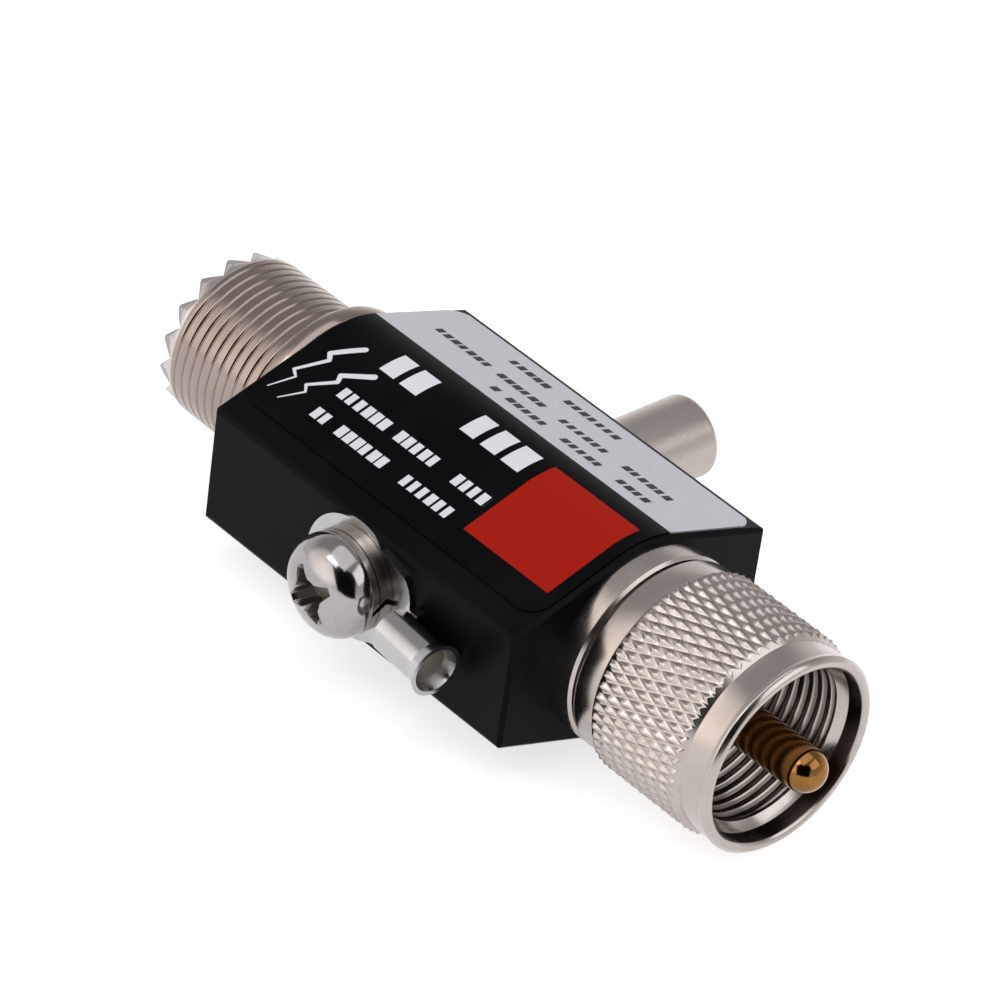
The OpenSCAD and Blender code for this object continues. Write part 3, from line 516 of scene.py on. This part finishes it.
# The knurl ends in a chamfer of 45 degrees on both sides, so its end rows lie on two cones.
# The mouth has a low rolled lip, and its rim is chamfered outside and inside.
knurl_x[0] = knurl_x0 - chamfer + knurl[0] - band_r
knurl_x[-1] = knurl_x1 + chamfer - knurl[-1] + band_r
back = [(neck_r, ring_x0), (8.98, ring_x0), (9.15, ring_x0 + 0.07), (band_r, ring_x0 + 0.25),
        (band_r, knurl_x0 - chamfer - 0.04), (band_r, knurl_x0 - chamfer)]
front = [(band_r, knurl_x1 + chamfer), (band_r, knurl_x1 + chamfer + 0.04), (9.22, 12.9), (9.25, 13.08),
         (9.33, 13.25), (9.36, 13.42), (9.34, 13.52), (9.05, 13.83), (8.98, 13.88), (8.93, ring_x1),
         (8.6, ring_x1), (8.55, 13.88), (8.34, 13.65), (mouth_r, 13.56), (mouth_r, 12.2), (8.28, 12.13),
         (7.62, 11.47), (ring_thread_r, 11.42)]
x_rows = np.linspace(ring_thread[1], ring_thread[0], 130)[:, None]
fade = np.clip((ring_thread[1] - x_rows) / 0.4, 0, 1) * np.clip((x_rows - ring_thread[0]) / 0.4, 0, 1)
cut = thread_depth(x_rows / thread_pitch + angle / (2 * np.pi), ring_crest) * fade
rows = turned(back, angle)
first_knurl, last_knurl = len(rows), len(rows) + len(knurl) - 1
rows.append(swept_about_x(knurl, knurl_x, angle))
rows += turned(front, angle)
rows.append(swept_about_x(ring_thread_r + ring_groove * cut, x_rows, angle))
rows += turned([(clip_r, clip_room[1]), (clip_r, clip_room[0]), (neck_r, clip_room[0])], angle)
grid = np.concatenate(rows)
# Each cell of the knurl splits along the groove that crosses it, and the chamfers at its ends stay flat.
split = np.zeros(grid.shape[:2])
split[first_knurl - 1:last_knurl + 1] = 1
split[first_knurl:last_knurl] += (np.floor(around) + np.floor(lengthwise[:-1])) % 2
flat = np.zeros(grid.shape[:2], bool)
flat[[first_knurl - 1, last_knurl]] = True
ring_piece = closed_surface("coupling_ring_knurled", grid, split, flat)
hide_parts("coupling_ring")
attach(ring_piece, "ring")
dress(ring_piece, nickel)

steel_tones, steel_rough = ((0.36, 0.35, 0.345), (0.27, 0.26, 0.25)), (0.25, 0.4)
spring_steel, tree, shader, place = finish_of("spring_steel", Metallic=1.0)
coat(tree, shader, *handled(tree, place, 500.0, steel_tones, steel_rough))
for name in ("ring_clip", "cap_spring"):
    dress(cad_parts[name], spring_steel)

# The gas tube and its cap: two tinned cups brazed to a ceramic, held by a spring under a turned nickel cap.
# The cap screws into the side of the block, and the tube sits on the rod's flat pad.
cap_nickel = nickel_finish("nickel_cap", (0.0, 1.0, 0.0), (0.26, 0.36), 0.45)
dress(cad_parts["tube_cap"], cap_nickel)

tin_tones, tin_rough = ((0.485, 0.475, 0.487), (0.415, 0.403, 0.408)), (0.13, 0.22)
bright_tin, tree, shader, place = finish_of("bright_tin", Metallic=1.0)
coat(tree, shader, *handled(tree, place, 260.0, tin_tones, tin_rough))
ripple = node(tree, "ShaderNodeTexNoise", {"Vector": place, "Scale": 700.0, "Detail": 2.0}).outputs["Fac"]
emboss(tree, shader, ripple, 0.12, 0.03)
for name in ("tube_line_cup", "tube_earth_cup"):
    dress(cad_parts[name], bright_tin)

# The ground screw: a chromed dome-headed screw with a cross recess, over a split washer and a crimp lug.
# Head and recess are cold-formed and the thread is rolled; the screw holds the lug to the block's side.
screw_x, head_out, head_r, head_h, dome_h = -24.3, 16.0, 4.65, 3.6, 2.0
screw_r, screw_tip, tip_r, screw_pitch, screw_groove, screw_crest = 2.5, 7.0, 2.0, 0.8, 0.36, 0.2
screw_thread_out = 14.4
head_top = head_out + head_h
dome_r = (head_r ** 2 + dome_h ** 2) / (2 * dome_h)
recess_out, recess_turn, recess_r = head_top - 2.1, math.radians(37), (3.1, 3.4)
slot_foot, slot_rise, slot_half, slot_flare, flare_r, wall_rise = 1.16, 0.977, 0.36, 0.60, 2.2, 4.5
cone_foot, cone_rise = 0.68, 2.06
chrome_tones, chrome_rough = ((0.385, 0.365, 0.368), (0.31, 0.29, 0.29)), (0.10, 0.17)
recess_tone, recess_rough = (0.12, 0.088, 0.066), 0.35
angle = np.linspace(0, 2 * np.pi, 300, endpoint=False)[None, :]
one = np.ones_like(angle)


def capped_surface(name, points):
    """A surface about an axis, closed by one flat face at each end: points[row, column] wraps round by
    columns and runs from the first cap to the last by rows."""
    rows, columns = points.shape[:2]
    row, column = np.meshgrid(np.arange(rows - 1), np.arange(columns), indexing="ij")
    beside = (column + 1) % columns
    quads = np.stack([row * columns + column, (row + 1) * columns + column, (row + 1) * columns + beside,
                      row * columns + beside], -1).reshape(-1, 4)
    ends = [list(range(columns)), list(range(rows * columns - 1, (rows - 1) * columns - 1, -1))]
    return piece_of(name, points, quads.tolist() + ends, np.arange(len(quads) + 2) < len(quads))


def cross_recess(radius, height):
    """The dome's height lowered by a cross recess: two slots at right angles, wider towards the middle,
    with sloped ends and steep walls, and a cone at the middle. What is left of the metal is the lowest of
    them."""
    turn = angle - recess_turn
    across = radius * np.cos(turn), radius * np.sin(turn)
    for run, off in (across, across[::-1]):
        slot = recess_out + slot_rise * np.clip(np.abs(run) - slot_foot, 0, None)
        half_width = slot_half + slot_flare * np.clip(1 - np.abs(run) / flare_r, 0, 1) ** 2
        height = np.minimum(height, slot + wall_rise * np.clip(np.abs(off) - half_width, 0, None))
    return np.minimum(height, recess_out + cone_rise * np.clip(radius - cone_foot, 0, None))


# Head profile: a dome to a slope of 33 degrees, an arc that turns it upright, the side and the seat.
tilt = math.radians(33)
dome_edge = dome_r * math.sin(tilt)
arc_r = (head_r - dome_edge) / (1 - math.sin(tilt))
dome_rows = np.linspace(0.2, dome_edge, 150)[:, None]
dome = cross_recess(dome_rows * one, head_top - dome_r + np.sqrt(dome_r ** 2 - dome_rows ** 2) * one)
bend = np.linspace(tilt, math.pi / 2, 14)[1:, None]
edge_r = dome_edge + arc_r * (np.sin(bend) - math.sin(tilt))
edge_out = head_top - dome_r * (1 - math.cos(tilt)) - arc_r * (math.cos(tilt) - np.cos(bend))
seat_r = np.array([head_r, head_r - 0.05, head_r - 0.15, screw_r])[:, None]
seat_out = head_out + np.array([0.12, 0.03, 0.0, 0.0])[:, None]
shank_out = np.linspace(head_out - 0.1, screw_tip + 0.5, 100)[:, None]
cut = thread_depth(shank_out / screw_pitch - angle / (2 * np.pi), screw_crest)
shank_r = screw_r - screw_groove * cut * np.clip((screw_thread_out - shank_out) / 0.5, 0, 1)
end_r = tip_r + np.array([0.1, 0.0])[:, None]
end_out = screw_tip + np.array([0.1, 0.0])[:, None]
radius = np.concatenate([dome_rows * one, edge_r * one, seat_r * one, shank_r, end_r * one])
outward = np.concatenate([dome, edge_out * one, seat_out * one, shank_out * one, end_out * one])
screw = capped_surface("ground_screw_formed", np.stack(
    [screw_x + radius * np.cos(angle), -outward, radius * np.sin(angle)], -1))
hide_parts("ground_screw")
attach(screw, "screw")

chrome, tree, shader, place = finish_of("chrome", Metallic=1.0)
tone, rough = handled(tree, place, 300.0, chrome_tones, chrome_rough)
# Below the dome's own sphere the metal is recess: there it is dark brown and rougher.
from_dome = vector_node(tree, "DISTANCE", place, (screw_x * MM, -(head_top - dome_r) * MM, 0.0))
inside = spread(tree, from_dome, (dome_r - 0.05) * MM, (dome_r - 0.7) * MM, 0.0, 0.8)
from_axis = vector_node(tree, "DISTANCE", vector_node(tree, "MULTIPLY", place, (1.0, 0.0, 1.0)),
                        (screw_x * MM, 0.0, 0.0))
inside = math_node(tree, "MULTIPLY", inside,
                   spread(tree, from_axis, recess_r[0] * MM, recess_r[1] * MM, 1.0, 0.0))
coat(tree, shader, mix_colour(tree, inside, tone, recess_tone),
     math_node(tree, "MULTIPLY_ADD", inside, recess_rough, rough))
dress(screw, chrome)

# The split washer: coiled from flat wire and zinc plated, duller than the lug, with a line rolled round it.
# Its darker tone is partly painted shade, for where it lies under the screw's head.
# It rides under the screw's head and presses on the lug.
# The washer's tones are darker than zinc plate alone: partly painted shade from the head above it.
zinc_and_shade_tones, zinc_rough = ((0.40, 0.365, 0.335), (0.30, 0.265, 0.235)), (0.18, 0.30)
line_out, line_half, line_tone = 15.3, 0.06, (0.03, 0.025, 0.02)
washer_zinc, tree, shader, place = finish_of("washer_zinc", Metallic=1.0)
tone, rough = handled(tree, place, 420.0, zinc_and_shade_tones, zinc_rough)
inward = node(tree, "ShaderNodeSeparateXYZ", {0: place}).outputs["Y"]
line = spread(tree, outside(tree, inward, -line_out * MM, line_half * MM), -0.02 * MM, 0.05 * MM, 0.9, 0.0)
coat(tree, shader, mix_colour(tree, line, tone, line_tone), rough)
dress(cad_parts["spring_washer"], washer_zinc)

# The lug: stamped and rolled from sheet, tinned as the tube's cups are, clamped to the block by the screw.
# The wire barrel's bore was never polished, so it stays dull and grey up to its flared mouth.
barrel_start, barrel_way, bore_r = Vector((-17.0, -16.25, -0.13)), Vector((0.997, -0.074, -0.017)), 1.65
bore_tone, bore_rough = (0.58, 0.555, 0.515), 0.34
lug_tin = bright_tin.copy()
lug_tin.name = "lug_tin"
tree, shader, place, tone, rough = layers_of(lug_tin)
from_start = vector_node(tree, "SUBTRACT", place, barrel_start * MM)
from_axis = vector_node(tree, "CROSS_PRODUCT", from_start, barrel_way.normalized())
from_axis = vector_node(tree, "LENGTH", from_axis)
past_start = node(tree, "ShaderNodeSeparateXYZ", {0: from_start}).outputs["X"]
in_bore = math_node(tree, "MULTIPLY",
                    spread(tree, from_axis, (bore_r + 0.05) * MM, (bore_r + 0.3) * MM, 1.0, 0.0),
                    spread(tree, past_start, -0.1 * MM, 0.1 * MM, 0.0, 1.0))
coat(tree, shader, mix_colour(tree, in_bore, tone, bore_tone),
     math_node(tree, "MULTIPLY_ADD", in_bore, bore_rough, rough))
dress(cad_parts["ground_lug"], lug_tin)

# The studio: a pale floor under the part, soft lamps round it and the camera where the photographer stood.
# The floor is white to the lens and in the metal, adds no light of its own and takes the part's shadow.
floor_tones, floor_white, floor_half = ((0.55, 0.55, 0.55), (0.57, 0.57, 0.57)), 0.72, 3000
floor_z = cad_box[0].z / MM - 0.02
corners = [(x * floor_half, y * floor_half, floor_z) for x, y in ((-1, -1), (1, -1), (1, 1), (-1, 1))]
floor = piece_of("studio_floor", corners, [(0, 1, 2, 3)], [False])
pale_floor, tree, shader, place = finish_of("pale_floor", Roughness=0.9, Specular_IOR_Level=0.1,
                                            Emission_Color=(1.0, 1.0, 1.0, 1.0))
ray = node(tree, "ShaderNodeLightPath").outputs
seen = math_node(tree, "MAXIMUM", ray["Is Camera Ray"], ray["Is Glossy Ray"])
tree.links.new(math_node(tree, "MULTIPLY", seen, floor_white), shader.inputs["Emission Strength"])
paper = node(tree, "ShaderNodeTexNoise", {"Vector": place, "Scale": 3.0}).outputs["Fac"]
tree.links.new(mix_colour(tree, paper, *floor_tones), shader.inputs["Base Color"])
dress(floor, pale_floor)

room_tone, glow_tone = (1.0, 0.985, 0.97), (1.0, 0.945, 0.885)
room_low, room_high, hot_strength = 0.92, 0.44, 0.35
world = bpy.data.worlds.new("studio")
scene.world = world
world.use_nodes = True
tree = world.node_tree
way = node(tree, "ShaderNodeTexCoord").outputs["Generated"]
# The room is bright near the floor line and dimmer overhead.
steepness = node(tree, "ShaderNodeSeparateXYZ", {0: way}).outputs["Z"]
room = spread(tree, steepness, 0.10, 0.62, room_low, room_high, "SMOOTHSTEP")


def sky_glow(middle, full, gone):
    """Mask of a round glow in the sky: 1 within full degrees of its middle, 0 beyond gone degrees."""
    toward = vector_node(tree, "DOT_PRODUCT", way, Vector(middle).normalized())
    edge, core = math.cos(math.radians(gone)), math.cos(math.radians(full))
    return spread(tree, toward, edge, core, 0.0, 1.0, "SMOOTHSTEP")


# The main light is a large warm glow to the left of the camera, soft at its edge.
# A smaller hot spot stands to its right.
glow = sky_glow((-0.36, -0.82, 0.45), 12, 44)
hot_spot = sky_glow((-0.18, -0.93, 0.32), 6, 24)
strength = math_node(tree, "MULTIPLY_ADD", hot_spot, hot_strength, math_node(tree, "ADD", glow, room))
backdrop = tree.nodes["Background"]
tree.links.new(strength, backdrop.inputs["Strength"])
tree.links.new(mix_colour(tree, glow, room_tone, glow_tone), backdrop.inputs["Color"])
lamp_aim = Vector((-24, 0, 0))


def softbox(name, place, width, height, power, colour):
    """A rectangular lamp that faces the part's middle; its place and sides are in millimetres."""
    lamp = bpy.data.lights.new(name, "AREA")
    lamp.shape = "RECTANGLE"
    lamp.size = width * MM
    lamp.size_y = height * MM
    lamp.energy = power
    lamp.color = colour
    made = bpy.data.objects.new(name, lamp)
    made.location = Vector(place) * MM
    made.rotation_mode = "QUATERNION"
    made.rotation_quaternion = (lamp_aim - Vector(place)).to_track_quat("-Z", "Y")
    scene.collection.objects.link(made)


softbox("front_softbox", (-107, -335, 390), 250, 140, 0.24, (0.93, 0.96, 1.0))
softbox("top_softbox", (-20, -40, 494), 420, 620, 0.83, (0.95, 0.98, 1.0))
softbox("right_softbox", (330, 130, 330), 420, 260, 0.50, (0.97, 0.98, 1.0))

# A dark cloth hangs behind the camera, so that polished faces turned to the lens mirror something dark.
cloth_tones, cloth_away = ((0.006, 0.006, 0.006), (0.012, 0.012, 0.012)), 760
cloth_left, cloth_right, cloth_low, cloth_high = -400, 600, -600, 280
cloth_out = Vector((0.566, -0.589, 0.577))
cloth_across = cloth_out.cross(Vector((0, 0, 1))).normalized()
cloth_up = cloth_across.cross(cloth_out)
cloth_middle = Vector((-20, 0, 0)) + cloth_out * cloth_away
corners = [cloth_middle + cloth_across * u + cloth_up * v
           for u, v in ((cloth_left, cloth_low), (cloth_right, cloth_low),
                        (cloth_right, cloth_high), (cloth_left, cloth_high))]
cloth = piece_of("dark_cloth", corners, [(0, 1, 2, 3)], [False])
dark_cloth, tree, shader, place = finish_of("dark_cloth", Roughness=0.95, Specular_IOR_Level=0.05)
weave = node(tree, "ShaderNodeTexNoise", {"Vector": place, "Scale": 60.0}).outputs["Fac"]
tree.links.new(mix_colour(tree, weave, *cloth_tones), shader.inputs["Base Color"])
dress(cloth, dark_cloth)
cloth.visible_camera = False

# The camera's place, aim, roll and focal length were fitted to the object's edges in the photograph.
lens = bpy.data.cameras.new("photo_camera")
lens.sensor_width = 36.0
lens.lens = 214.96
lens.clip_start = 0.01
lens.clip_end = 20.0
camera = bpy.data.objects.new("photo_camera", lens)
forward = Vector((-0.56625, 0.58882, -0.57676)).normalized()
level = forward.cross(Vector((0, 0, 1))).normalized()
roll = math.radians(-8.14)
right = (level * math.cos(roll) + forward.cross(level) * math.sin(roll)).normalized()
up = right.cross(forward)
camera.matrix_world = Matrix((right, up, -forward)).transposed().to_4x4()
camera.location = Vector((259.25, -293.663, 291.211)) * MM
scene.collection.objects.link(camera)
scene.camera = camera
